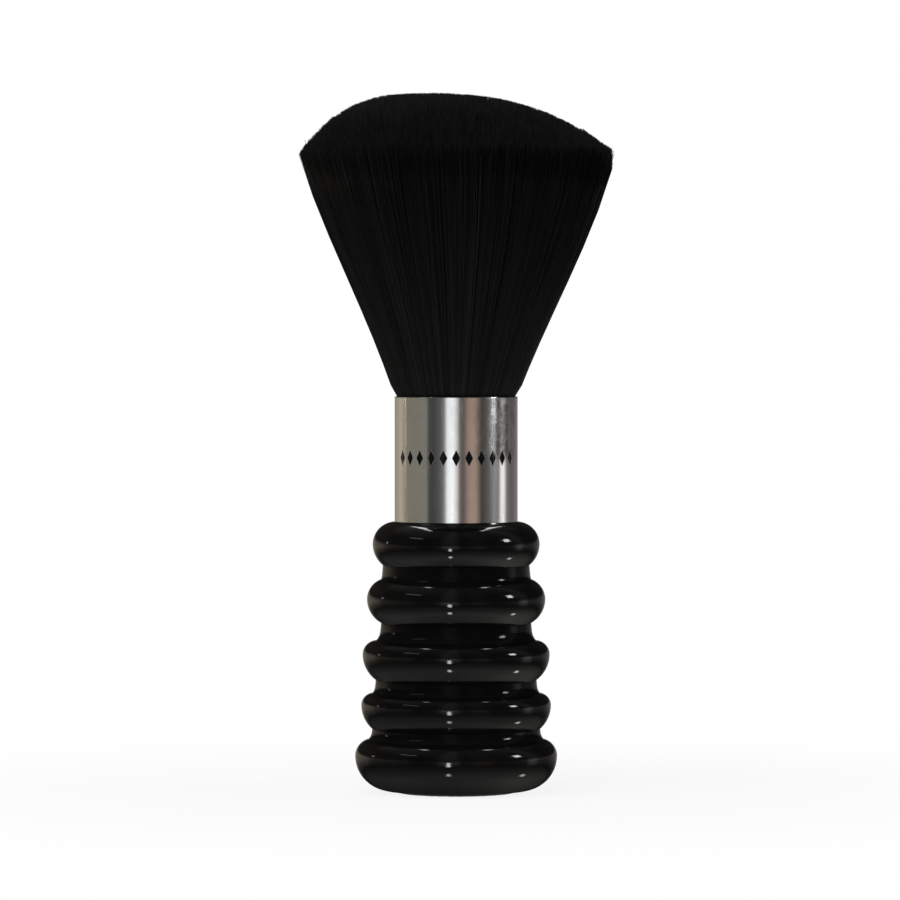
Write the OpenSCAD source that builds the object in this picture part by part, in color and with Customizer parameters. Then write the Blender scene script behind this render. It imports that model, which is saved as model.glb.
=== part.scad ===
// Neck duster brush: a free-standing barber's brush that sweeps cut hair off the neck.
// A turned, lacquered handle of five beads carries an aluminium ferrule, and the ferrule
// holds a flared, dome-trimmed knot of filaments that is cast in resin at its root.
//
// Millimetres, +Z up. The origin is the centre of the face the brush stands on.

/* [Handle] */
// Height from the standing face to the shoulder that the ferrule sits on
shoulder_z = 61.7; // [60.5:0.1:63]
// Height from one to the next of the three beads nearest the ferrule
upper_pitch = 12.55; // [12.4:0.05:12.7]
// Height from the third bead to the fourth
lower_pitch = 11.55; // [11.4:0.05:11.8]
// Height of the foot bead's widest line
foot_bead_z = 8.4; // [8:0.1:8.8]

/* [Beads, counted down from the ferrule] */
// Diameter of the first bead
bead_1_d = 38; // [37:0.1:39]
// Diameter of the second bead
bead_2_d = 40.6; // [39.6:0.1:41.6]
// Diameter of the third bead
bead_3_d = 42.6; // [41.6:0.1:43.6]
// Diameter of the fourth bead
bead_4_d = 43.2; // [42.2:0.1:44.2]
// Diameter of the foot bead
foot_bead_d = 46; // [45:0.5:50]
// Radius of the round above the first bead's widest line
bead_1_upper_r = 5.1; // [4.8:0.05:5.4]
// Radius of the round above the second bead's widest line
bead_2_upper_r = 4.8; // [4.5:0.05:5.1]
// Radius of the round above the third bead's widest line
bead_3_upper_r = 3.1; // [2.8:0.05:3.4]
// Radius of the round above the fourth bead's widest line
bead_4_upper_r = 2.65; // [2.4:0.05:3]
// Radius of the round above the foot bead's widest line
foot_bead_upper_r = 3.8; // [3.5:0.05:4.1]
// Radius of the round below the widest line of the first two beads
upper_beads_under_r = 6.15; // [5.9:0.05:6.4]
// Radius of the round below the widest line of the third and fourth beads
lower_beads_under_r = 7.2; // [6.9:0.05:7.4]

/* [Coves, counted down from the ferrule] */
// Diameter of the neck where the first cove begins
cove_1_d = 33.8; // [33:0.1:34.2]
// Diameter of the neck where the second cove begins
cove_2_d = 34.5; // [33.5:0.1:35]
// Diameter of the neck where the third cove begins
cove_3_d = 36.9; // [36:0.1:37.3]
// Diameter of the neck where the fourth cove begins
cove_4_d = 38.4; // [37.6:0.1:38.8]
// Drop from the first bead's widest line to where the cove below it begins
cove_1_drop = 7.2; // [7:0.05:7.4]
// Drop from the second bead's widest line to where the cove below it begins
cove_2_drop = 7.15; // [6.9:0.05:7.4]
// Drop from the third bead's widest line to where the cove below it begins
cove_3_drop = 7.25; // [7:0.05:7.5]
// Drop from the fourth bead's widest line to where the cove below it begins
cove_4_drop = 6.05; // [5.8:0.05:6.3]
// Radius of the hollow of the first cove
cove_1_r = 2.5; // [2.2:0.1:2.8]
// Radius of the hollow of the second cove
cove_2_r = 4; // [3.7:0.1:4.3]
// Radius of the hollow of the third and fourth coves
lower_coves_r = 3; // [2.8:0.1:3.2]

/* [Ferrule] */
// Outside diameter of the tube
ferrule_d = 28; // [27:0.5:29]
// Wall of the tube
ferrule_wall = 0.5; // [0.4:0.1:0.8]
// Length of the tube above the handle's shoulder
ferrule_len = 28.5; // [27:0.1:34]
// Height of the handle's tenon inside the tube
tenon_len = 12; // [11:0.5:13]

/* [Bristles] */
// Free length of the knot above the ferrule, at its centre
bristle_len = 69.1; // [66:0.1:74]
// Diameter of the knot at its widest
bristle_d = 71.8; // [68:0.2:76]
// Height of the knot's widest line above the ferrule
bristle_rim_z = 54.2; // [52:0.2:57]
// Radius of the dome that the knot is trimmed to
dome_r = 54; // [52:0.5:64]
// Height above the ferrule to which the filaments stand still when the knot bends
still_reach = 28; // [26:0.5:30]

/* [Foot pad] */
// Diameter of the felt pad
pad_d = 27; // [20:0.5:27]
// Thickness of the felt pad
pad_h = 1.8; // [1.6:0.1:2.2]
// How far the pad stands out of the handle
pad_proud = 0.5; // [0.4:0.1:0.8]

/* [Hidden] */
$fn = 96;

// Glued and cast pieces stand this far apart, so that no two of them overlap.
glue_gap = 0.05;
// Gap between the still and the bending part of the knot.
bend_gap = 0.3;

// The handle's beads and the coves between them, as lists that count down from the ferrule.
beads = 5;
foot = beads - 1;
bead_1_z = shoulder_z - bead_1_upper_r;
bead_zs = [bead_1_z, bead_1_z - upper_pitch, bead_1_z - 2 * upper_pitch,
           bead_1_z - 2 * upper_pitch - lower_pitch, foot_bead_z];
bead_rs = [bead_1_d, bead_2_d, bead_3_d, bead_4_d, foot_bead_d] / 2;
bead_upper_rs = [bead_1_upper_r, bead_2_upper_r, bead_3_upper_r, bead_4_upper_r, foot_bead_upper_r];
bead_under_rs = [upper_beads_under_r, upper_beads_under_r, lower_beads_under_r, lower_beads_under_r,
                 foot_bead_z - pad_proud];
neck_rs = [cove_1_d, cove_2_d, cove_3_d, cove_4_d] / 2;
cove_drops = [cove_1_drop, cove_2_drop, cove_3_drop, cove_4_drop];
cove_rs = [cove_1_r, cove_2_r, lower_coves_r, lower_coves_r];
// How far out each cove is cut before the bead below takes over, as a share of the cove's radius.
cove_share = 0.3;
// How far the wall of each neck leans in towards the bead above, in degrees.
neck_lean = 5;

ferrule_r = ferrule_d / 2;
bore_r = ferrule_r - ferrule_wall;
mouth_z = shoulder_z + ferrule_len;
lip_r = ferrule_wall / 2;

tenon_r = bore_r - glue_gap;
tenon_z = shoulder_z + tenon_len;
tenon_chamfer = 0.6;
glue_groove_depth = 0.5;
glue_groove_h = 1.2;
glue_groove_zs = [shoulder_z + 0.3 * tenon_len, shoulder_z + 0.68 * tenon_len];

disc_h = 1.5;
disc_z = tenon_z + glue_gap;

resin_z = disc_z + disc_h + glue_gap;
resin_h = 8;
resin_top_z = resin_z + resin_h;

cord_d = 0.8;
cord_turns = 3;
cord_pitch = cord_d + 0.06;
cord_r = bore_r - cord_d / 2 - 0.1;
cord_z = resin_top_z + 1.4;
cord_seat_margin = 0.3;

peg_r = 3;
peg_len = 6;
spreader_r = 7.5;
spreader_z = mouth_z + 9;
spreader_dome_h = 2.4;

root_r = bore_r - glue_gap;
waist_rise = 4;
waist_r = ferrule_r + 1.35;
rim_r = bristle_d / 2;
top_z = mouth_z + bristle_len;
dome_centre_z = top_z - dome_r;

// A ring of rectangular section round the Z axis.
module ring(r_in, r_out, z, h) {
    difference() {
        translate([0, 0, z]) cylinder(r = r_out, h = h);
        translate([0, 0, z - 1]) cylinder(r = r_in, h = h + 2);
    }
}

// Half the outline of one bead: an upper and a lower round that share their widest line.
module bead_outline(r, z, upper, lower) {
    reach = 2 * max(upper, lower);
    intersection() {
        translate([r - upper, z]) circle(r = upper);
        translate([0, z]) square([r + 1, reach]);
    }
    intersection() {
        translate([r - lower, z]) circle(r = lower);
        translate([0, z - reach]) square([r + 1, reach]);
    }
}

// Half the outline of the neck between one bead and the next: a wall that leans in towards the bead
// above, and under it a cove that leaves the wall smoothly and runs out to the bead below.
module neck_outline(i) {
    cove_z = bead_zs[i] - cove_drops[i];
    difference() {
        translate([0, bead_zs[i + 1]])
            square([neck_rs[i] + cove_share * cove_rs[i], cove_z - bead_zs[i + 1]]);
        translate([neck_rs[i] + cove_rs[i] * cos(neck_lean), cove_z + cove_rs[i] * sin(neck_lean)])
            circle(r = cove_rs[i]);
    }
    polygon([
        [0, cove_z],
        [neck_rs[i], cove_z],
        [neck_rs[i] - cove_drops[i] * tan(neck_lean), bead_zs[i]],
        [0, bead_zs[i]]
    ]);
}

// Half the outline of what the first and the foot bead are built on: the shoulder, the tenon and the foot.
module ends_outline() {
    shoulder_r = bead_rs[0] - bead_upper_rs[0];
    foot_flat_r = bead_rs[foot] - bead_under_rs[foot];
    translate([0, pad_proud]) square([foot_flat_r, foot_bead_z - pad_proud]);
    polygon([
        [0, bead_1_z],
        [shoulder_r, bead_1_z],
        [shoulder_r, shoulder_z],
        [tenon_r, shoulder_z],
        [tenon_r, tenon_z - tenon_chamfer],
        [tenon_r - tenon_chamfer, tenon_z],
        [0, tenon_z]
    ]);
}

module handle() {
    color([0.012, 0.012, 0.014])
        difference() {
            rotate_extrude() {
                ends_outline();
                for (i = [0 : foot - 1]) neck_outline(i);
                for (i = [0 : foot])
                    bead_outline(bead_rs[i], bead_zs[i], bead_upper_rs[i], bead_under_rs[i]);
            }
            translate([0, 0, -1]) cylinder(r = pad_d / 2 + glue_gap, h = 1 + pad_h + glue_gap);
            for (z = glue_groove_zs)
                ring(tenon_r - glue_groove_depth, tenon_r + 1, z, glue_groove_h);
        }
}

// A felt disc let into the foot, which carries the face the brush stands on.
module foot_pad() {
    color([0.03, 0.03, 0.03]) cylinder(r = pad_d / 2, h = pad_h);
}

// A drawn tube with its cut edge at the mouth rounded over.
module ferrule() {
    color([0.80, 0.80, 0.79]) rotate_extrude() {
        translate([bore_r, shoulder_z + glue_gap]) square([ferrule_wall, ferrule_len - lip_r - glue_gap]);
        translate([bore_r + lip_r, mouth_z - lip_r]) circle(r = lip_r);
    }
}

// Epoxy that fills the grooves turned in the tenon and locks the tube to it.
module ferrule_adhesive() {
    color([0.85, 0.78, 0.55])
        for (z = glue_groove_zs)
            ring(tenon_r - glue_groove_depth + glue_gap / 2, bore_r - glue_gap / 2,
                 z + glue_gap / 2, glue_groove_h - glue_gap);
}

// Vulcanised fibre disc between the end of the tenon and the cast root.
module backing_disc() {
    color([0.45, 0.30, 0.20]) translate([0, 0, disc_z]) cylinder(r = bore_r - glue_gap, h = disc_h);
}

// The resin block that the root ends of the filaments are cast in.
module resin_plug() {
    color([0.75, 0.62, 0.30]) difference() {
        translate([0, 0, resin_z]) cylinder(r = bore_r - glue_gap, h = resin_h);
        translate([0, 0, resin_top_z - peg_len]) cylinder(r = peg_r, h = peg_len + 1);
    }
}

// The wooden plug that keeps the middle of the knot open, grown all round by gap.
module spreader_shape(gap) {
    translate([0, 0, resin_top_z]) {
        cone_h = spreader_z - resin_top_z;
        cylinder(r1 = peg_r + gap, r2 = spreader_r + gap, h = cone_h);
        translate([0, 0, cone_h]) intersection() {
            ball_r = (spreader_r * spreader_r + spreader_dome_h * spreader_dome_h) / (2 * spreader_dome_h);
            translate([0, 0, spreader_dome_h - ball_r]) sphere(r = ball_r + gap);
            cylinder(r = spreader_r + gap, h = spreader_dome_h + 1);
        }
    }
}

module spreader_plug() {
    color([0.72, 0.55, 0.36]) {
        spreader_shape(0);
        translate([0, 0, resin_top_z - peg_len + glue_gap])
            cylinder(r = peg_r - glue_gap, h = peg_len);
    }
}

// Turns of waxed cord that bind the filaments before the root is cast.
module root_binding() {
    color([0.70, 0.66, 0.58])
        for (i = [0 : cord_turns - 1])
            translate([0, 0, cord_z + i * cord_pitch])
                rotate_extrude() translate([cord_r, 0]) circle(r = cord_d / 2, $fn = 32);
}

// The whole knot above the resin, as the solid that the filaments fill.
module knot_solid() {
    root_z = resin_top_z + glue_gap;
    rim_z = mouth_z + bristle_rim_z;
    intersection() {
        rotate_extrude() polygon([
            [0, root_z],
            [root_r, root_z],
            [root_r, mouth_z],
            [waist_r, mouth_z + waist_rise],
            [rim_r - 0.5, rim_z - 2.6],
            [rim_r, rim_z],
            [rim_r - 0.7, rim_z + 2.4],
            [rim_r - 5, rim_z + 8],
            [rim_r - 5, top_z + 1],
            [0, top_z + 1]
        ]);
        translate([0, 0, dome_centre_z]) sphere(r = dome_r);
    }
}

// The foot of the knot, which the ferrule holds still.
module bristle_roots() {
    cord_h = (cord_turns - 1) * cord_pitch + cord_d;
    color([0.02, 0.02, 0.02]) difference() {
        intersection() {
            knot_solid();
            translate([0, 0, mouth_z]) sphere(r = still_reach);
        }
        spreader_shape(glue_gap);
        ring(cord_r - cord_d / 2 - glue_gap, bore_r + 1,
             cord_z - cord_d / 2 - cord_seat_margin, cord_h + 2 * cord_seat_margin);
    }
}

// The free end of the knot, which swings about the ferrule's mouth as the filaments bend.
module bristle_tips() {
    color([0.02, 0.02, 0.02]) difference() {
        knot_solid();
        translate([0, 0, mouth_z]) sphere(r = still_reach + bend_gap);
        cylinder(r = rim_r, h = mouth_z + 1);
    }
}

handle();
foot_pad();
ferrule();
ferrule_adhesive();
backing_disc();
resin_plug();
spreader_plug();
root_binding();
bristle_roots();
bristle_tips();
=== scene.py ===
"""Looks for the neck duster brush: a black lacquered handle, a bright ferrule and a flared knot of filaments.

Everything is in metres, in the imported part's own frame: +Z up, origin on the floor under the brush.
"""

import math

import bpy
import numpy as np
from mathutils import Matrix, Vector


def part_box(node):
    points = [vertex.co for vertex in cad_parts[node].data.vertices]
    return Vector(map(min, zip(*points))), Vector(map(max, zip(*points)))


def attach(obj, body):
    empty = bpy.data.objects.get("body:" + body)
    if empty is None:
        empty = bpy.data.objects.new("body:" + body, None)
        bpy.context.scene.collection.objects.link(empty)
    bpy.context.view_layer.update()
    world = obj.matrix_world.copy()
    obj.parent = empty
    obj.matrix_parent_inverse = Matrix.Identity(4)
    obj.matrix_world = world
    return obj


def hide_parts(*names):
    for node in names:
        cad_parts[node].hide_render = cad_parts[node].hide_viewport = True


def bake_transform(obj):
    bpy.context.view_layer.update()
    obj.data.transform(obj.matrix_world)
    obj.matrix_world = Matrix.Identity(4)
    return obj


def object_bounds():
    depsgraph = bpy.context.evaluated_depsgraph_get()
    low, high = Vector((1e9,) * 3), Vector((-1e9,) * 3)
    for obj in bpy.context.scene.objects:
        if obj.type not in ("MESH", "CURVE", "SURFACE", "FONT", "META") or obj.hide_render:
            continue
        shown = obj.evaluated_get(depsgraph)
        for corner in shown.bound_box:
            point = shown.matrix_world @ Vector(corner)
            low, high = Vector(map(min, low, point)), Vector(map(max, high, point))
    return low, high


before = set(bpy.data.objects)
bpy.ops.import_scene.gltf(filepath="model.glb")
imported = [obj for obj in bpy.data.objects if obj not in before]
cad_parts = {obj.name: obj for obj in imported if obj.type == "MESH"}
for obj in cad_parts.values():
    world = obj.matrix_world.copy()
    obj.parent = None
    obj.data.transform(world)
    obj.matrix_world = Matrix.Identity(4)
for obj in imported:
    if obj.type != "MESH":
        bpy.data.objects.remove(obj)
cad_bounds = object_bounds()

MM = 0.001
HANDLE_BODY = "handle_body"

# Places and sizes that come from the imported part.
ferrule_low, ferrule_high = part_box("ferrule")
mouth_z = ferrule_high.z
ferrule_r = ferrule_high.x
knot_root_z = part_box("bristle_roots")[0].z
knot_top_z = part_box("bristle_tips")[1].z
pad_low, pad_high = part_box("foot_pad")
plug_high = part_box("spreader_plug")[1]
object_height = cad_bounds[1].z


# ---------------------------------------------------------------- node helpers

class Nodes:
    """A node tree, with short calls for the nodes that this script uses."""

    def __init__(self, tree, coordinates):
        self.tree = tree
        tree.nodes.clear()
        self.points = self.add("ShaderNodeTexCoord").outputs[coordinates]

    def add(self, kind, **settings):
        node = self.tree.nodes.new(kind)
        for key, value in settings.items():
            setattr(node, key, value)
        return node

    def link(self, source, target):
        """Feeds a socket from another node's output, or sets it to a number, a vector or an RGB colour."""
        if isinstance(source, bpy.types.NodeSocket):
            self.tree.links.new(source, target)
        elif target.type == "RGBA":
            target.default_value = (*source, 1.0)
        else:
            target.default_value = source

    def link_all(self, node, *sources):
        """Feeds a node's first sockets in order, and returns its first output."""
        for socket, source in zip(node.inputs, sources):
            self.link(source, socket)
        return node.outputs[0]

    def math(self, operation, a, b=0.0):
        return self.link_all(self.add("ShaderNodeMath", operation=operation), a, b)

    def plus(self, first, *others):
        for other in others:
            first = self.math("ADD", first, other)
        return first

    def times(self, first, *others):
        for other in others:
            first = self.math("MULTIPLY", first, other)
        return first

    def length(self, x, y):
        return self.math("SQRT", self.plus(self.math("POWER", x, 2.0), self.math("POWER", y, 2.0)))

    def split(self, vector=None):
        node = self.add("ShaderNodeSeparateXYZ")
        self.link(vector or self.points, node.inputs[0])
        return node.outputs

    def join(self, x, y, z):
        return self.link_all(self.add("ShaderNodeCombineXYZ"), x, y, z)

    def scaled(self, scale):
        """The place times scale along each axis, so that a pattern stretches."""
        return self.link_all(self.add("ShaderNodeVectorMath", operation="MULTIPLY"), self.points, scale)

    def noise(self, scale, detail=2.0, roughness=0.5, vector=None):
        node = self.add("ShaderNodeTexNoise")
        self.link(vector or self.points, node.inputs["Vector"])
        node.inputs["Scale"].default_value = scale
        node.inputs["Detail"].default_value = detail
        node.inputs["Roughness"].default_value = roughness
        return node.outputs["Fac"]

    def cells(self, scale, feature="F1", vector=None):
        node = self.add("ShaderNodeTexVoronoi", feature=feature)
        self.link(vector or self.points, node.inputs["Vector"])
        node.inputs["Scale"].default_value = scale
        return node.outputs["Distance"]

    def remap(self, value, low, high, to_low=0.0, to_high=1.0, smooth=False):
        node = self.add("ShaderNodeMapRange", interpolation_type="SMOOTHSTEP" if smooth else "LINEAR")
        for name, number in zip(("Value", "From Min", "From Max", "To Min", "To Max"),
                                (value, low, high, to_low, to_high)):
            self.link(number, node.inputs[name])
        return node.outputs["Result"]

    def ramp(self, value, stops):
        """Colours by value: stops is a list of (position, (r, g, b)), or of (position, grey)."""
        node = self.add("ShaderNodeValToRGB")
        elements = node.color_ramp.elements
        while len(elements) < len(stops):
            elements.new(0.5)
        for element, (position, colour) in zip(elements, stops):
            element.position = position
            element.color = (*colour, 1.0) if isinstance(colour, tuple) else (colour, colour, colour, 1.0)
        self.link(value, node.inputs["Fac"])
        return node.outputs["Color"]

    def mix(self, factor, a, b):
        node = self.add("ShaderNodeMix", data_type="RGBA")
        self.link(factor, node.inputs[0])
        self.link(a, node.inputs[6])
        self.link(b, node.inputs[7])
        return node.outputs[2]

    def mix_shaders(self, factor, a, b):
        return self.link_all(self.add("ShaderNodeMixShader"), factor, a, b)

    def bump(self, height, distance, normal=None):
        node = self.add("ShaderNodeBump")
        node.inputs["Distance"].default_value = distance
        self.link(height, node.inputs["Height"])
        if normal:
            self.link(normal, node.inputs["Normal"])
        return node.outputs["Normal"]


class Shader(Nodes):
    """A new material's node tree."""

    def __init__(self, name):
        self.material = bpy.data.materials.new(name)
        self.material.use_nodes = True
        super().__init__(self.material.node_tree, "Object")
        self.output = self.add("ShaderNodeOutputMaterial")

    def finish(self, surface):
        self.link(surface, self.output.inputs["Surface"])
        return self.material

    def principled(self, **inputs):
        """Ends the material with a Principled BSDF; inputs are its sockets, with _ for a space."""
        node = self.add("ShaderNodeBsdfPrincipled")
        for key, value in inputs.items():
            self.link(value, node.inputs[key.replace("_", " ")])
        return self.finish(node.outputs[0])


# ---------------------------------------------------------------- materials

def black_lacquer():
    """Gloss black over turned wood: faint lathe rings and orange peel, a little dust and hazing."""
    s = Shader("black_lacquer")
    z = s.split()[2]
    rings = s.noise(1.0, detail=1.0, vector=s.join(0.0, 0.0, s.times(z, 900.0)))
    peel = s.noise(520.0, detail=1.0)
    haze = s.noise(45.0, detail=4.0, roughness=0.6)
    dust = s.times(s.remap(s.cells(900.0), 0.03, 0.06, 1.0, 0.0), s.remap(s.noise(60.0), 0.55, 0.7))
    height = s.plus(s.times(rings, 0.6), s.times(peel, 0.4))
    black = s.ramp(haze, [(0.35, (0.0028, 0.0028, 0.0030)), (0.7, (0.0040, 0.0039, 0.0038))])
    colour = s.mix(s.times(dust, 0.25), black, (0.05, 0.05, 0.05))
    roughness = s.plus(s.remap(haze, 0.3, 0.75, 0.07, 0.12), s.times(dust, 0.3))

    # On the handle's sides, the surface direction used for shading faces down no more steeply than this, so
    # that they do not mirror the bright floor.
    steepest = math.tan(math.radians(33))
    nx, ny, nz = s.split(s.add("ShaderNodeNewGeometry").outputs["Normal"])
    level = s.length(nx, ny)
    limited = s.math("MAXIMUM", nz, s.times(level, -steepest))
    on_a_side = s.remap(level, 0.15, 0.35)
    nz = s.plus(nz, s.times(on_a_side, s.math("SUBTRACT", limited, nz)))
    facing = s.link_all(s.add("ShaderNodeVectorMath", operation="NORMALIZE"), s.join(nx, ny, nz))

    # Less gloss in the grooves between beads, so that their walls do not mirror the bright surroundings.
    sky = s.add("ShaderNodeAmbientOcclusion", samples=8, only_local=True)
    sky.inputs["Distance"].default_value = 12 * MM
    in_groove = s.remap(sky.outputs["AO"], 0.76, 0.94, 1.0, 0.0)
    above_under_side = s.remap(s.math("DIVIDE", nz, s.math("MAXIMUM", level, 0.1)), -0.40, -0.20)
    gloss = s.remap(s.times(in_groove, above_under_side), 0.0, 1.0, 0.5, 0.01)
    return s.principled(
        Base_Color=colour, Roughness=roughness, IOR=1.42, Specular_IOR_Level=gloss,
        Normal=s.bump(height, 0.006 * MM, normal=facing))


# The row of lozenges printed on the ferrule.
LOZENGES_PER_TURN = 30
LOZENGE_SHARE = 0.66
LOZENGE_HEIGHT = 3.8 * MM
PRINT_HALF_TURN = math.radians(66)
PRINT_ABOVE_MIDDLE = 0.4 * MM

# Where the ferrule is worn and shade is painted: the middle of that side, and the heights over its foot where
# both set in.
WORN_AND_SHADED_TURN = math.radians(48)
WEAR_AND_SHADE_FROM, WEAR_AND_SHADE_FULLY = 13 * MM, 16 * MM


def ferrule_metal():
    """Polished tube: lengthwise drawing streaks, rubbed patches, scratches and a row of printed lozenges."""
    s = Shader("ferrule_metal")
    x, y, z = s.split()
    angle = s.math("ARCTAN2", x, s.times(y, -1.0))
    around = s.times(angle, ferrule_r)

    def stretched(per_metre_around, per_metre_up):
        return s.join(s.times(around, per_metre_around), 0.0, s.times(z, per_metre_up))

    streaks = s.noise(1.0, detail=3.0, roughness=0.7, vector=stretched(1500.0, 22.0))
    # The tube is most worn on one side above the print, and a narrow strip of it has painted shade.
    above_print = s.remap(z, ferrule_low.z + WEAR_AND_SHADE_FROM, ferrule_low.z + WEAR_AND_SHADE_FULLY, smooth=True)
    from_worn_and_shaded = s.math("COSINE", s.math("SUBTRACT", angle, WORN_AND_SHADED_TURN))
    worn_side = s.times(s.remap(from_worn_and_shaded, 0.82, 0.96, smooth=True), above_print)
    painted_shade_strip = s.times(s.remap(from_worn_and_shaded, 0.980, 0.995, smooth=True), above_print,
                   s.remap(s.noise(700.0, detail=3.0), 0.3, 0.6, 0.6, 1.0))
    rubbed = s.noise(260.0, detail=5.0, roughness=0.7, vector=s.scaled((1.0, 1.0, 0.6)))
    rubbed = s.times(s.remap(rubbed, 0.48, 0.62), s.remap(worn_side, 0.0, 1.0, 0.10, 1.0))
    scratches = s.cells(1.0, "DISTANCE_TO_EDGE", vector=stretched(420.0, 160.0))
    scratches = s.times(s.remap(scratches, 0.0, 0.03, 1.0, 0.0), s.remap(s.noise(90.0), 0.52, 0.66))
    marks = s.noise(1.0, detail=2.0, vector=stretched(420.0, 1900.0))

    # The print: across runs from 0 at the middle of a lozenge to 0.5 half way to the next.
    print_row_z = (ferrule_low.z + mouth_z) / 2 + PRINT_ABOVE_MIDDLE
    across = s.math("PINGPONG", s.times(angle, LOZENGES_PER_TURN / math.tau), 0.5)
    from_row = s.math("ABSOLUTE", s.math("SUBTRACT", z, print_row_z))
    diamond = s.plus(s.math("DIVIDE", across, LOZENGE_SHARE / 2),
                     s.math("DIVIDE", from_row, LOZENGE_HEIGHT / 2))
    ink = s.remap(diamond, 0.94, 1.0, s.remap(streaks, 0.30, 0.42, 0.85, 1.0), 0.0)
    in_row = s.math("LESS_THAN", s.math("ABSOLUTE", angle), PRINT_HALF_TURN)
    outside = s.math("GREATER_THAN", s.length(x, y), ferrule_r - 0.1 * MM)
    ink = s.times(ink, in_row, outside)
    bare = s.math("SUBTRACT", 1.0, ink)

    metal = s.ramp(streaks, [(0.3, (0.76, 0.755, 0.74)), (0.7, (0.91, 0.905, 0.90))])
    metal = s.mix(s.times(rubbed, 0.45), metal, (0.52, 0.53, 0.55))
    # Painted shade: a dark strip above the print, where the metal would mirror the room's bright band.
    metal = s.mix(s.times(painted_shade_strip, 0.9), metal, (0.16, 0.155, 0.155))
    colour = s.mix(ink, metal, (0.006, 0.006, 0.006))
    roughness = s.plus(s.remap(streaks, 0.3, 0.7, 0.14, 0.19),
                       s.times(rubbed, 0.12), s.times(worn_side, 0.05), s.times(ink, 0.3))
    height = s.plus(s.times(streaks, 0.5), s.times(rubbed, 0.3), s.times(marks, 0.9), s.times(scratches, -0.8))
    turned = s.add("ShaderNodeTangent", direction_type="RADIAL", axis="Z")
    return s.principled(
        Base_Color=colour, Metallic=bare, Roughness=roughness, Normal=s.bump(height, 0.010 * MM),
        Specular_IOR_Level=s.times(bare, 0.5),
        Anisotropic=0.8, Anisotropic_Rotation=0.25, Tangent=turned.outputs[0])


def filament():
    """Black nylon filaments: each has its own shade."""
    s = Shader("black_filament")
    geometry = s.add("ShaderNodeNewGeometry")
    colour = s.ramp(geometry.outputs["Random Per Island"], [
        (0.0, (0.0022, 0.0022, 0.0023)), (0.6, (0.0055, 0.0053, 0.0052)), (1.0, (0.0120, 0.0112, 0.0105))])
    # Less gloss on faces that point up, which keeps the trimmed top dark.
    up = s.split(geometry.outputs["Normal"])[2]
    gloss = s.remap(up, 0.0, 0.3, 0.25, 0.06)
    material = s.principled(Base_Color=colour, Roughness=0.40, Specular_IOR_Level=gloss)
    # The socket's own value under the link is one gloss for the whole knot, where the varying gloss is left
    # out. The export does not bake a gloss that varies, and takes this value for the whole knot.
    material.node_tree.nodes["Principled BSDF"].inputs["Specular IOR Level"].default_value = 0.2
    return material


def felt():
    s = Shader("black_felt")
    fibres = s.noise(900.0, detail=5.0, roughness=0.75)
    patches = s.noise(140.0, detail=3.0)
    pile = s.ramp(fibres, [(0.3, (0.010, 0.010, 0.011)), (0.75, (0.05, 0.05, 0.052))])
    colour = s.mix(patches, pile, (0.022, 0.021, 0.021))
    return s.principled(Base_Color=colour, Roughness=0.95, Sheen_Weight=0.4,
                        Normal=s.bump(fibres, 0.25 * MM))


def bare_wood():
    s = Shader("bare_wood")
    x = s.split()[0]
    warp = s.noise(60.0, detail=2.0)
    rings = s.math("SINE", s.plus(s.times(x, 2600.0), s.times(warp, 14.0)))
    pores = s.noise(1.0, detail=3.0, roughness=0.7, vector=s.scaled((2400.0, 2400.0, 160.0)))
    colour = s.mix(s.remap(rings, -1.0, 1.0, 0.0, 0.6), (0.60, 0.40, 0.22), (0.42, 0.25, 0.12))
    colour = s.mix(s.remap(pores, 0.55, 0.75, 0.0, 0.5), colour, (0.22, 0.13, 0.06))
    return s.principled(Base_Color=colour, Roughness=s.remap(pores, 0.3, 0.7, 0.55, 0.8),
                        Normal=s.bump(pores, 0.05 * MM))


def cast_resin(name, pale, dark):
    """Set resin: cloudy, with small trapped bubbles."""
    s = Shader(name)
    cloud = s.noise(180.0, detail=4.0)
    bubbles = s.remap(s.cells(1100.0), 0.10, 0.22, 1.0, 0.0)
    colour = s.mix(s.times(bubbles, 0.5), s.ramp(cloud, [(0.3, dark), (0.7, pale)]), pale)
    return s.principled(Base_Color=colour, Roughness=s.remap(cloud, 0.3, 0.7, 0.18, 0.35),
                        Normal=s.bump(bubbles, 0.04 * MM))


def fibre_board():
    s = Shader("fibre_board")
    fibres = s.noise(1300.0, detail=5.0, roughness=0.8)
    colour = s.ramp(fibres, [(0.3, (0.20, 0.10, 0.055)), (0.7, (0.40, 0.24, 0.14))])
    return s.principled(Base_Color=colour, Roughness=0.85, Normal=s.bump(fibres, 0.08 * MM))


def waxed_cord():
    s = Shader("waxed_cord")
    fibres = s.noise(2600.0, detail=3.0, roughness=0.7)
    colour = s.ramp(fibres, [(0.3, (0.30, 0.24, 0.15)), (0.7, (0.58, 0.50, 0.38))])
    return s.principled(Base_Color=colour, Roughness=s.remap(fibres, 0.3, 0.7, 0.4, 0.65),
                        Normal=s.bump(fibres, 0.03 * MM))


# ---------------------------------------------------------------- mesh helpers

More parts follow.
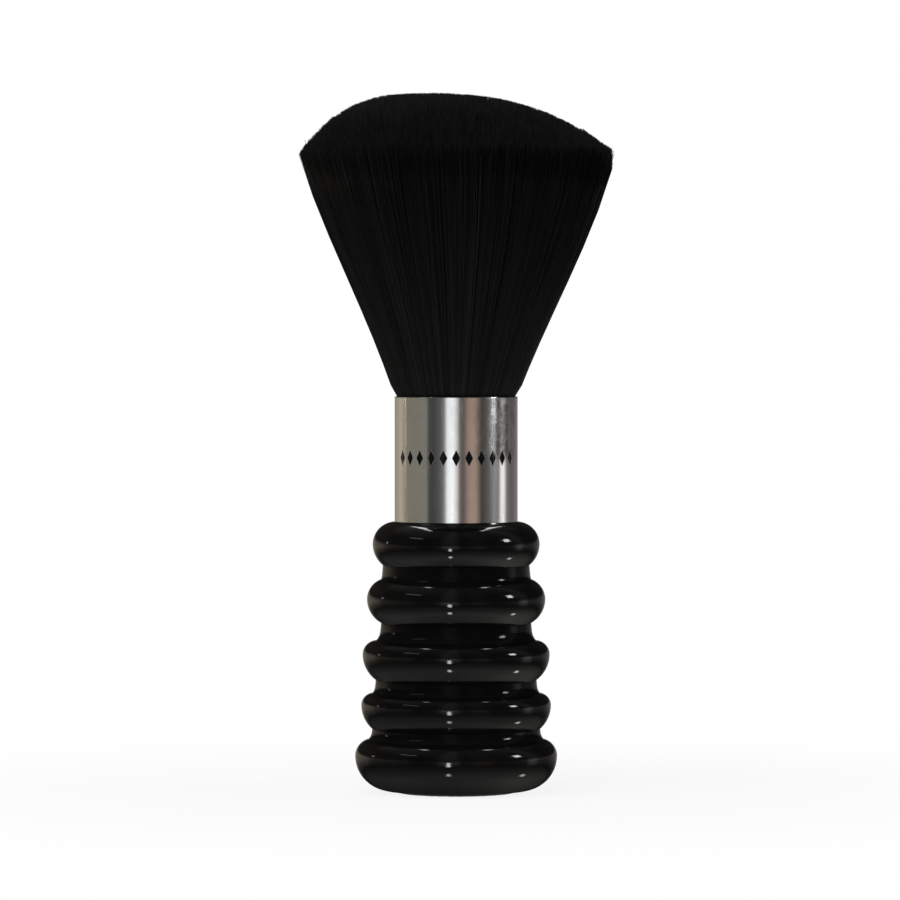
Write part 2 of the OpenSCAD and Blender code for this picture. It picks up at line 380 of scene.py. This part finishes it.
def mesh_object(name, points, faces, material):
    """A mesh object from numpy points (n, 3) and quads or triangles (n, k), shaded smooth."""
    mesh = bpy.data.meshes.new(name)
    mesh.vertices.add(len(points))
    mesh.vertices.foreach_set("co", np.asarray(points, np.float32).ravel())
    corners = np.concatenate([np.asarray(block, np.int32).ravel() for block in faces])
    sizes = np.concatenate([np.full(len(block), np.shape(block)[1], np.int32) for block in faces])
    mesh.loops.add(len(corners))
    mesh.loops.foreach_set("vertex_index", corners)
    mesh.polygons.add(len(sizes))
    mesh.polygons.foreach_set("loop_start", np.concatenate([[0], np.cumsum(sizes)[:-1]]).astype(np.int32))
    mesh.update(calc_edges=True)
    mesh.polygons.foreach_set("use_smooth", np.ones(len(sizes), bool))
    mesh.validate()
    mesh.materials.append(material)
    piece = bpy.data.objects.new(name, mesh)
    bpy.context.scene.collection.objects.link(piece)
    return piece


def smoothstep(low, high, value):
    t = np.clip((value - low) / (high - low), 0.0, 1.0)
    return t * t * (3.0 - 2.0 * t)


# ---------------------------------------------------------------- the knot

STRANDS = 26000
KNOT_PIECES = 9
STRAND_SIDES = 3
STRAND_RINGS = 11
# Of those rings, the ones above the ferrule's mouth.
FREE_RINGS = 9
# Distance from a strand's middle to its corners, at the root and at the tip.
STRAND_ROOT_R, STRAND_TIP_R = 0.095 * MM, 0.062 * MM
# Strands gather a little into locks. A share of them lies in the outermost ring, so that no gap shows there.
LOCKS = 420
LOCK_PULL = 0.08
OUTER_STRANDS = 0.16
OUTER_RING = 0.93
# The cut is uneven from strand to strand and from lock to lock, and a few strays stand out of it.
STRAND_UNEVENNESS, LOCK_UNEVENNESS = 0.07 * MM, 0.06 * MM
STRAYS = 0.0015
STRAY_LENGTH = 0.4 * MM
TIP_SWAY, STRAY_TIP_SWAY = 0.27 * MM, 1.2 * MM

# The knot's outline over the ferrule's mouth, as a curve in the height above it (metres): a small bulge
# over the lip, then the flare. The bulge, slope, opening and closing are a least-squares fit to the outline in
# the reference photograph, rounded. Below the mouth the knot narrows to where it is bound.
LIP_BULGE = 0.63 * MM
LIP_BULGE_REACH = 0.8 * MM
FLARE_SLOPE = 0.342
FLARE_OPENING = 4.62
FLARE_CLOSING = 64.8
BOUND_R = 12.0 * MM
BOUND_TOP = 2.6 * MM

# The trimmed top: its peak stands left of the middle, and it falls by PEAK_DROP to the rim all round. The
# outermost strands, CORNER_SHARE of the radius, are cut lower, most of all on the right. LEAN is how much more
# or less of each there is towards the right; KNOT_LEAN is how far the knot's waist stands to the right.
PEAK_X = -6.0 * MM
PEAK_DROP = 13.3 * MM
RIM_R = 35.7 * MM
FALL_POWER = 2.75
FALL_POWER_LEAN = 0.28
CORNER_DROP = 2.0 * MM
CORNER_DROP_LEAN = 2.0 * MM
CORNER_SHARE = 0.03
KNOT_LEAN = 0.55 * MM

mouth_r = ferrule_r - 0.62 * MM
peak_z = knot_top_z - 0.35 * MM


def knot_radius(z):
    """Outer radius of the bundle: bound tight in the ferrule, then flared above its mouth."""
    h = z - mouth_z
    inside = BOUND_R + (mouth_r - BOUND_R) * smoothstep(-BOUND_TOP, -0.2 * MM, h)
    up = np.maximum(h, 0.0)
    bulge = LIP_BULGE * (1.0 - np.exp(-up / LIP_BULGE_REACH))
    return inside + bulge + FLARE_SLOPE * up + FLARE_OPENING * up ** 2 - FLARE_CLOSING * up ** 3


def dome_height(x, y):
    """Height of the trimmed top over a place in plan."""
    from_peak = np.hypot(x - PEAK_X, y)
    along_x = (x - PEAK_X) / np.maximum(from_peak, 1e-9)
    # Distance from the peak to the rim's circle in the same direction.
    half = PEAK_X * along_x
    to_rim = -half + np.sqrt(half ** 2 + RIM_R ** 2 - PEAK_X ** 2)
    power = FALL_POWER - FALL_POWER_LEAN * along_x
    return peak_z - PEAK_DROP * (from_peak / to_rim) ** power


def hollow_radius(z):
    """Inner radius of the bundle, round the spreader plug and closing above it."""
    plug_r = plug_high.x + 0.15 * MM
    stem_r = 3.2 * MM
    up_the_plug = np.clip((z - knot_root_z) / (plug_high.z - 2 * MM - knot_root_z), 0, 1)
    cone = stem_r + (plug_r - stem_r) * up_the_plug
    return cone * (1.0 - smoothstep(plug_high.z - 1.0 * MM, plug_high.z + 24 * MM, z))


def trim_height(share, turn):
    """Height at which strands at this share of the radius and this turn meet the trimmed top."""
    low = np.full(len(share), mouth_z + 30 * MM)
    high = np.full(len(share), knot_top_z + 2 * MM)
    for _ in range(24):
        middle = (low + high) / 2
        r = share * knot_radius(middle)
        inside = middle < dome_height(r * np.cos(turn), r * np.sin(turn))
        low, high = np.where(inside, middle, low), np.where(inside, high, middle)
    return low


def strand_paths(rng, count):
    """Centre lines (count, rings, 3) of the strands, from the cast root to the trimmed tip."""
    share = np.sqrt(rng.random(count))
    outer = rng.random(count) < OUTER_STRANDS
    share = np.where(outer, OUTER_RING + (1.0 - OUTER_RING) * rng.random(count), share)
    turn = rng.random(count) * math.tau

    # Strands lean towards the middle of the lock that they belong to.
    lock_share = np.sqrt(rng.random(LOCKS))
    lock_turn = rng.random(LOCKS) * math.tau
    lock_x, lock_y = lock_share * np.cos(lock_turn), lock_share * np.sin(lock_turn)
    own_x, own_y = share * np.cos(turn), share * np.sin(turn)
    nearest = np.argmin((own_x[:, None] - lock_x) ** 2 + (own_y[:, None] - lock_y) ** 2, axis=1)
    pull_x, pull_y = lock_x[nearest] - own_x, lock_y[nearest] - own_y

    top = trim_height(share, turn)
    at_rim = np.clip((share - 1.0) / CORNER_SHARE + 1.0, 0.0, 1.0)
    top -= (CORNER_DROP + CORNER_DROP_LEAN * np.cos(turn)) * at_rim
    top += rng.normal(0.0, STRAND_UNEVENNESS, count) + rng.normal(0.0, LOCK_UNEVENNESS, LOCKS)[nearest]
    stray = rng.random(count) < STRAYS
    top += np.where(stray, STRAY_LENGTH * rng.random(count), 0.0)

    # Rings bunch up where the path curves, at the ferrule's mouth.
    buried = np.linspace(0.0, 1.0, STRAND_RINGS - FREE_RINGS, endpoint=False)
    free = np.linspace(0.0, 1.0, FREE_RINGS) ** 1.45
    z = np.concatenate([
        np.repeat((knot_root_z + buried * (mouth_z - knot_root_z))[None], count, axis=0),
        mouth_z + free[None] * (top - mouth_z)[:, None]], axis=1)
    along = np.clip((z - mouth_z) / (knot_top_z - mouth_z), 0.0, 1.0)

    outer_r, inner_r = knot_radius(z), hollow_radius(z)
    lean = LOCK_PULL * along ** 1.5
    x_share = own_x[:, None] + pull_x[:, None] * lean
    y_share = own_y[:, None] + pull_y[:, None] * lean
    size = np.hypot(x_share, y_share)
    radius = inner_r + np.minimum(size, 1.0) * (outer_r - inner_r)
    sway = np.where(stray, STRAY_TIP_SWAY, TIP_SWAY)[:, None] * along ** 2
    x = x_share / size * radius + rng.normal(0.0, 1.0, (count, 1)) * sway
    x += KNOT_LEAN * np.sin(along * math.pi)
    y = y_share / size * radius + rng.normal(0.0, 1.0, (count, 1)) * sway
    return np.stack([x, y, z], axis=2)


def strand_mesh(paths, root_r, tip_r):
    """Closed, tapered, three-sided tubes round the paths: points, and faces as quads and end caps."""
    count, rings, _ = paths.shape
    tangent = np.gradient(paths, axis=1)
    tangent /= np.linalg.norm(tangent, axis=2, keepdims=True)
    side = np.cross(tangent, np.array([0.31, 0.95, 0.05]))
    side /= np.linalg.norm(side, axis=2, keepdims=True)
    other = np.cross(tangent, side)
    length = np.linspace(0.0, 1.0, rings)[None, :, None, None]
    reach = root_r + (tip_r - root_r) * length ** 3
    corner = np.arange(STRAND_SIDES) * math.tau / STRAND_SIDES
    ring = (side[:, :, None] * np.cos(corner)[None, None, :, None]
            + other[:, :, None] * np.sin(corner)[None, None, :, None])
    points = paths[:, :, None] + ring * reach
    step = np.arange(rings - 1)[:, None] * STRAND_SIDES
    a = np.arange(STRAND_SIDES)[None]
    b = (a + 1) % STRAND_SIDES
    walls = np.stack([step + a, step + b, step + b + STRAND_SIDES, step + a + STRAND_SIDES], axis=2)
    walls = walls.reshape(-1, 4)
    last = (rings - 1) * STRAND_SIDES
    caps = np.array([np.arange(STRAND_SIDES)[::-1], last + np.arange(STRAND_SIDES)])
    starts = (np.arange(count) * rings * STRAND_SIDES)[:, None, None]
    return points.reshape(-1, 3), [(starts + walls).reshape(-1, 4), (starts + caps).reshape(-1, STRAND_SIDES)]


def build_knot(material):
    """The knot in equal sectors, by the turn of their tips."""
    rng = np.random.default_rng(7)
    paths = strand_paths(rng, STRANDS)
    turn = np.arctan2(paths[:, -1, 1], paths[:, -1, 0])
    for number, chosen in enumerate(np.array_split(np.argsort(turn), KNOT_PIECES), start=1):
        points, faces = strand_mesh(paths[chosen], STRAND_ROOT_R, STRAND_TIP_R)
        piece = mesh_object(f"bristle_sector_{number}", points, faces, material)
        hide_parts("bristle_roots", "bristle_tips")
        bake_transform(piece)


# ---------------------------------------------------------------- the foot pad

def build_foot_pad(material):
    """A felt disc with a soft, slightly uneven edge and nap."""
    rng = np.random.default_rng(11)
    radius, thickness = pad_high.x, pad_high.z - pad_low.z
    around, face_rows, edge_rows = 120, 18, 6
    edge_r = 0.45 * MM
    nap_height = 0.035 * MM
    outline = [(t * (radius - edge_r), 0.0) for t in np.linspace(0.04, 1.0, face_rows)]
    outline += [(radius - edge_r + edge_r * math.sin(a), edge_r - edge_r * math.cos(a))
                for a in np.linspace(0.2, math.pi / 2, edge_rows)]
    outline += [(radius, thickness), (radius * 0.5, thickness)]
    turn = np.arange(around) * math.tau / around
    points = []
    for r, z in outline:
        nap = rng.normal(0.0, nap_height, (around, 2))
        reach = r + np.minimum(nap[:, 0], 0.0)
        lift = np.abs(nap[:, 1]) if z < thickness else np.zeros(around)
        points.append(np.stack([reach * np.cos(turn), reach * np.sin(turn), z + lift], axis=1))
    points = np.concatenate(points)
    a = np.arange(around)
    b = (a + 1) % around
    quads = np.concatenate([np.stack([
        row * around + b, row * around + a, (row + 1) * around + a, (row + 1) * around + b], axis=1)
        for row in range(len(outline) - 1)])
    last = (len(outline) - 1) * around
    points = np.concatenate([points, [[0, 0, 0], [0, 0, thickness]]])
    below = np.stack([np.full(around, len(points) - 2), b, a], axis=1)
    above = np.stack([np.full(around, len(points) - 1), last + a, last + b], axis=1)
    piece = mesh_object("felt_foot_pad", points, [quads, below, above], material)
    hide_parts("foot_pad")
    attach(piece, HANDLE_BODY)


# ---------------------------------------------------------------- floor, light and camera

# The camera stands in front, and sees FRAME_WIDTH across at the brush.
CAMERA_DISTANCE = 1.25
CAMERA_HEIGHT = 0.100
FRAME_WIDTH = 0.2048
AIM = Vector((-1.4 * MM, 0.0, 78.0 * MM))


def build_floor():
    """A pale table top. The camera sees it white, with a soft shadow under the brush.

    Reflections look through it to the room below, but it stays dark where the foot shades it.
    """
    s = Shader("pale_floor")
    x, y, z = s.split()
    distance = s.length(x, y)
    diffuse = s.add("ShaderNodeBsdfDiffuse")
    grain = s.noise(260.0, detail=3.0)
    s.link(s.ramp(grain, [(0.3, 0.86), (0.7, (0.89, 0.89, 0.885))]), diffuse.inputs["Color"])
    white = s.add("ShaderNodeEmission")
    white.inputs["Strength"].default_value = 1.0
    whiteness = s.remap(distance, 0.02, 0.22, 0.88, 1.0, smooth=True)
    seen = s.mix_shaders(whiteness, diffuse.outputs[0], white.outputs[0])
    through = s.add("ShaderNodeBsdfTransparent")
    shade = s.ramp(s.remap(distance, 0.0, 50 * MM), [(0.36, 0.3), (0.46, 0.68), (0.8, 0.78), (0.95, 1.0)])
    s.link(shade, through.inputs["Color"])
    is_reflection = s.add("ShaderNodeLightPath").outputs["Is Glossy Ray"]
    material = s.finish(s.mix_shaders(is_reflection, seen, through.outputs[0]))

    around, rows, radius = 96, 12, 0.6
    turn = np.arange(around) * math.tau / around
    circle = np.stack([np.cos(turn), np.sin(turn), np.zeros(around)], axis=1)
    reaches = radius * (np.arange(1, rows + 1) / rows) ** 1.6
    points = np.concatenate([np.zeros((1, 3))] + [reach * circle for reach in reaches])
    a = np.arange(around) + 1
    b = np.roll(a, -1)
    centre = np.stack([np.zeros(around, int), a, b], axis=1)
    bands = [np.stack([near + a, near + around + a, near + around + b, near + b], axis=1)
             for near in np.arange(rows - 1) * around]
    mesh_object("floor", points, [centre, np.concatenate(bands)], material)


# The light and dark bands that the metal and the lacquer reflect, as colour by turn. Turns are in degrees from
# the camera's side, anticlockwise from above. These colours were measured by a program across the ferrule in
# the reference photograph, then rounded and adjusted against renders. The tints of the ceiling and the table,
# further down, were adjusted by comparing renders with it.
ROOM = [
    (-180, (0.30, 0.28, 0.24)), (-150, (0.33, 0.30, 0.24)), (-124, (0.52, 0.45, 0.36)),
    (-112, (0.28, 0.245, 0.185)), (-98, (0.25, 0.23, 0.175)), (-58, (0.27, 0.265, 0.235)),
    (-52, (0.075, 0.078, 0.07)), (-44, (0.065, 0.067, 0.06)), (-28, (0.14, 0.145, 0.14)),
    (-22, (0.32, 0.33, 0.33)), (-16, (1.35, 1.40, 1.42)), (-5, (1.5, 1.53, 1.55)),
    (1, (0.95, 0.94, 0.94)), (7, (0.22, 0.19, 0.185)), (13, (0.15, 0.11, 0.10)),
    (24, (0.48, 0.35, 0.29)), (36, (0.50, 0.38, 0.30)), (42, (0.27, 0.22, 0.17)),
    (48, (0.07, 0.058, 0.047)), (60, (0.11, 0.11, 0.105)), (80, (0.19, 0.19, 0.195)),
    (88, (0.34, 0.33, 0.32)), (94, (1.2, 1.17, 1.14)), (101, (1.2, 1.15, 1.12)),
    (109, (0.24, 0.22, 0.22)), (126, (0.13, 0.115, 0.12)), (150, (0.20, 0.18, 0.175)),
    (180, (0.30, 0.28, 0.24)),
]
# How bright the room is at each steepness, which is the Z part of the direction.
ROOM_BY_STEEPNESS = [
    (-1.0, 0.0), (-0.30, 0.0), (-0.17, 0.4), (-0.09, 1.0), (0.02, 1.0), (0.10, 0.08), (0.3, 0.12),
]
# The ceiling, in the same terms.
CEILING = [(-180, 0.14), (-150, 0.24), (-90, 0.14), (0, 0.05), (110, 0.08), (180, 0.14)]
CEILING_BY_STEEPNESS = [(-1.0, 0.0), (0.55, 0.0), (0.75, 0.7), (0.9, 1.0)]
# The pale table below, in the same terms.
TABLE = [
    (-180, (0.32, 0.31, 0.30)), (-90, (0.46, 0.43, 0.45)), (0, 0.45),
    (70, (0.60, 0.59, 0.56)), (110, (0.80, 0.79, 0.70)), (180, (0.32, 0.31, 0.30)),
]
TABLE_BY_STEEPNESS = [(-1.0, 1.0), (-0.80, 1.0), (-0.57, 0.5), (-0.26, 0.0), (1.0, 0.0)]
FILL_STRENGTH = 0.30


def build_world():
    """White to the camera, a dim room to reflections, and an even soft fill to everything else."""
    world = bpy.data.worlds.new("studio")
    bpy.context.scene.world = world
    world.use_nodes = True
    n = Nodes(world.node_tree, "Generated")
    x, y, z = n.split()
    turn = n.plus(n.math("DIVIDE", n.math("ARCTAN2", x, n.times(y, -1.0)), math.tau), 0.5)
    steepness = n.plus(n.times(z, 0.5), 0.5)

    def surroundings(by_turn, by_steepness):
        colour = n.ramp(turn, [(degrees / 360 + 0.5, colour) for degrees, colour in by_turn])
        strength = n.ramp(steepness, [(up / 2 + 0.5, brightness) for up, brightness in by_steepness])
        return n.link_all(n.add("ShaderNodeBackground"), colour, strength)

    def even_white(strength):
        return n.link_all(n.add("ShaderNodeBackground"), (1.0, 1.0, 1.0), strength)

    def both(a, b):
        return n.link_all(n.add("ShaderNodeAddShader"), a, b)

    below_and_above = both(surroundings(CEILING, CEILING_BY_STEEPNESS),
                           surroundings(TABLE, TABLE_BY_STEEPNESS))
    reflected = both(surroundings(ROOM, ROOM_BY_STEEPNESS), below_and_above)
    path = n.add("ShaderNodeLightPath")
    unseen = n.mix_shaders(path.outputs["Is Glossy Ray"], even_white(FILL_STRENGTH), reflected)
    shown = n.mix_shaders(path.outputs["Is Camera Ray"], unseen, even_white(1.0))
    n.link(shown, n.add("ShaderNodeOutputWorld").inputs["Surface"])


# Small lamps that the lacquer mirrors, and lamps below it that stand in for their reflections in the table:
# name, turn and elevation in degrees, width, height, and power in watts. Their directions were worked out by a
# program from where highlights lie on the beads in the reference photograph, then rounded and adjusted.
LAMPS = [
    ("front_lamp", -8.3, -15, 0.07, 0.15, 0.55),
    ("front_lamp_in_table", -10, -46, 0.06, 0.14, 0.38),
    ("right_lamp", 77, 22, 0.14, 0.18, 1.5),
    ("right_lamp_in_table", 98, -38, 0.08, 0.08, 0.24),
    ("left_lamp", -110.5, 8, 0.05, 0.08, 0.04),
    ("left_shelf_lamp", -64, 35, 0.36, 0.04, 0.12),
]
LAMP_DISTANCE = 1.0
# Two ceiling tubes stand this far left and right of the brush, behind it and above it.
TUBE_PLACE = Vector((0.38, 0.50, 1.12))


def area_light(name, width, height, watts):
    """A rectangular light that the camera does not see. It faces down until it is turned."""
    data = bpy.data.lights.new(name, "AREA")
    data.shape = "RECTANGLE"
    data.size, data.size_y = width, height
    data.energy = watts
    light = bpy.data.objects.new(name, data)
    light.visible_camera = False
    bpy.context.scene.collection.objects.link(light)
    return light


def aim_at_brush(light, turn, elevation, distance):
    """Moves a light to this turn and elevation in degrees, facing the handle."""
    target = Vector((0.0, 0.0, 0.2 * object_height))
    a, e = math.radians(turn), math.radians(elevation)
    away = Vector((math.sin(a) * math.cos(e), -math.cos(a) * math.cos(e), math.sin(e)))
    light.location = target + distance * away
    light.rotation_mode = "QUATERNION"
    light.rotation_quaternion = (target - light.location).to_track_quat("-Z", "Y")


def build_lights():
    key = area_light("key_softbox", 0.9, 0.9, 8.0)
    aim_at_brush(key, -35, 50, 1.2)
    key.visible_glossy = False
    for name, turn, elevation, width, height, watts in LAMPS:
        aim_at_brush(area_light(name, width, height, watts), turn, elevation, LAMP_DISTANCE)
    for name, side in (("ceiling_tube_left", -1), ("ceiling_tube_right", 1)):
        tube = area_light(name, 0.08, 1.0, 2.8)
        tube.location = (side * TUBE_PLACE.x, TUBE_PLACE.y, TUBE_PLACE.z)
        tube.visible_diffuse = False


def build_camera():
    data = bpy.data.cameras.new("camera")
    data.sensor_width = 36.0
    data.lens = data.sensor_width * CAMERA_DISTANCE / FRAME_WIDTH
    camera = bpy.data.objects.new("camera", data)
    camera.location = (AIM.x, -CAMERA_DISTANCE, CAMERA_HEIGHT)
    camera.rotation_mode = "QUATERNION"
    camera.rotation_quaternion = (AIM - camera.location).to_track_quat("-Z", "Y")
    bpy.context.scene.collection.objects.link(camera)
    bpy.context.scene.camera = camera


# ---------------------------------------------------------------- assembly

def finish_cad_node(node, material):
    """Gives a carried-over CAD node its material."""
    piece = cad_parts[node]
    piece.data.materials.clear()
    piece.data.materials.append(material)


finish_cad_node("handle", black_lacquer())
finish_cad_node("ferrule", ferrule_metal())
finish_cad_node("ferrule_adhesive", cast_resin("epoxy", (0.72, 0.62, 0.40), (0.55, 0.44, 0.24)))
finish_cad_node("backing_disc", fibre_board())
finish_cad_node("resin_plug", cast_resin("casting_resin", (0.60, 0.42, 0.14), (0.38, 0.22, 0.05)))
finish_cad_node("spreader_plug", bare_wood())
finish_cad_node("root_binding", waxed_cord())
build_foot_pad(felt())
build_knot(filament())

build_floor()
build_world()
build_lights()
build_camera()
bpy.context.scene.view_settings.view_transform = "Standard"
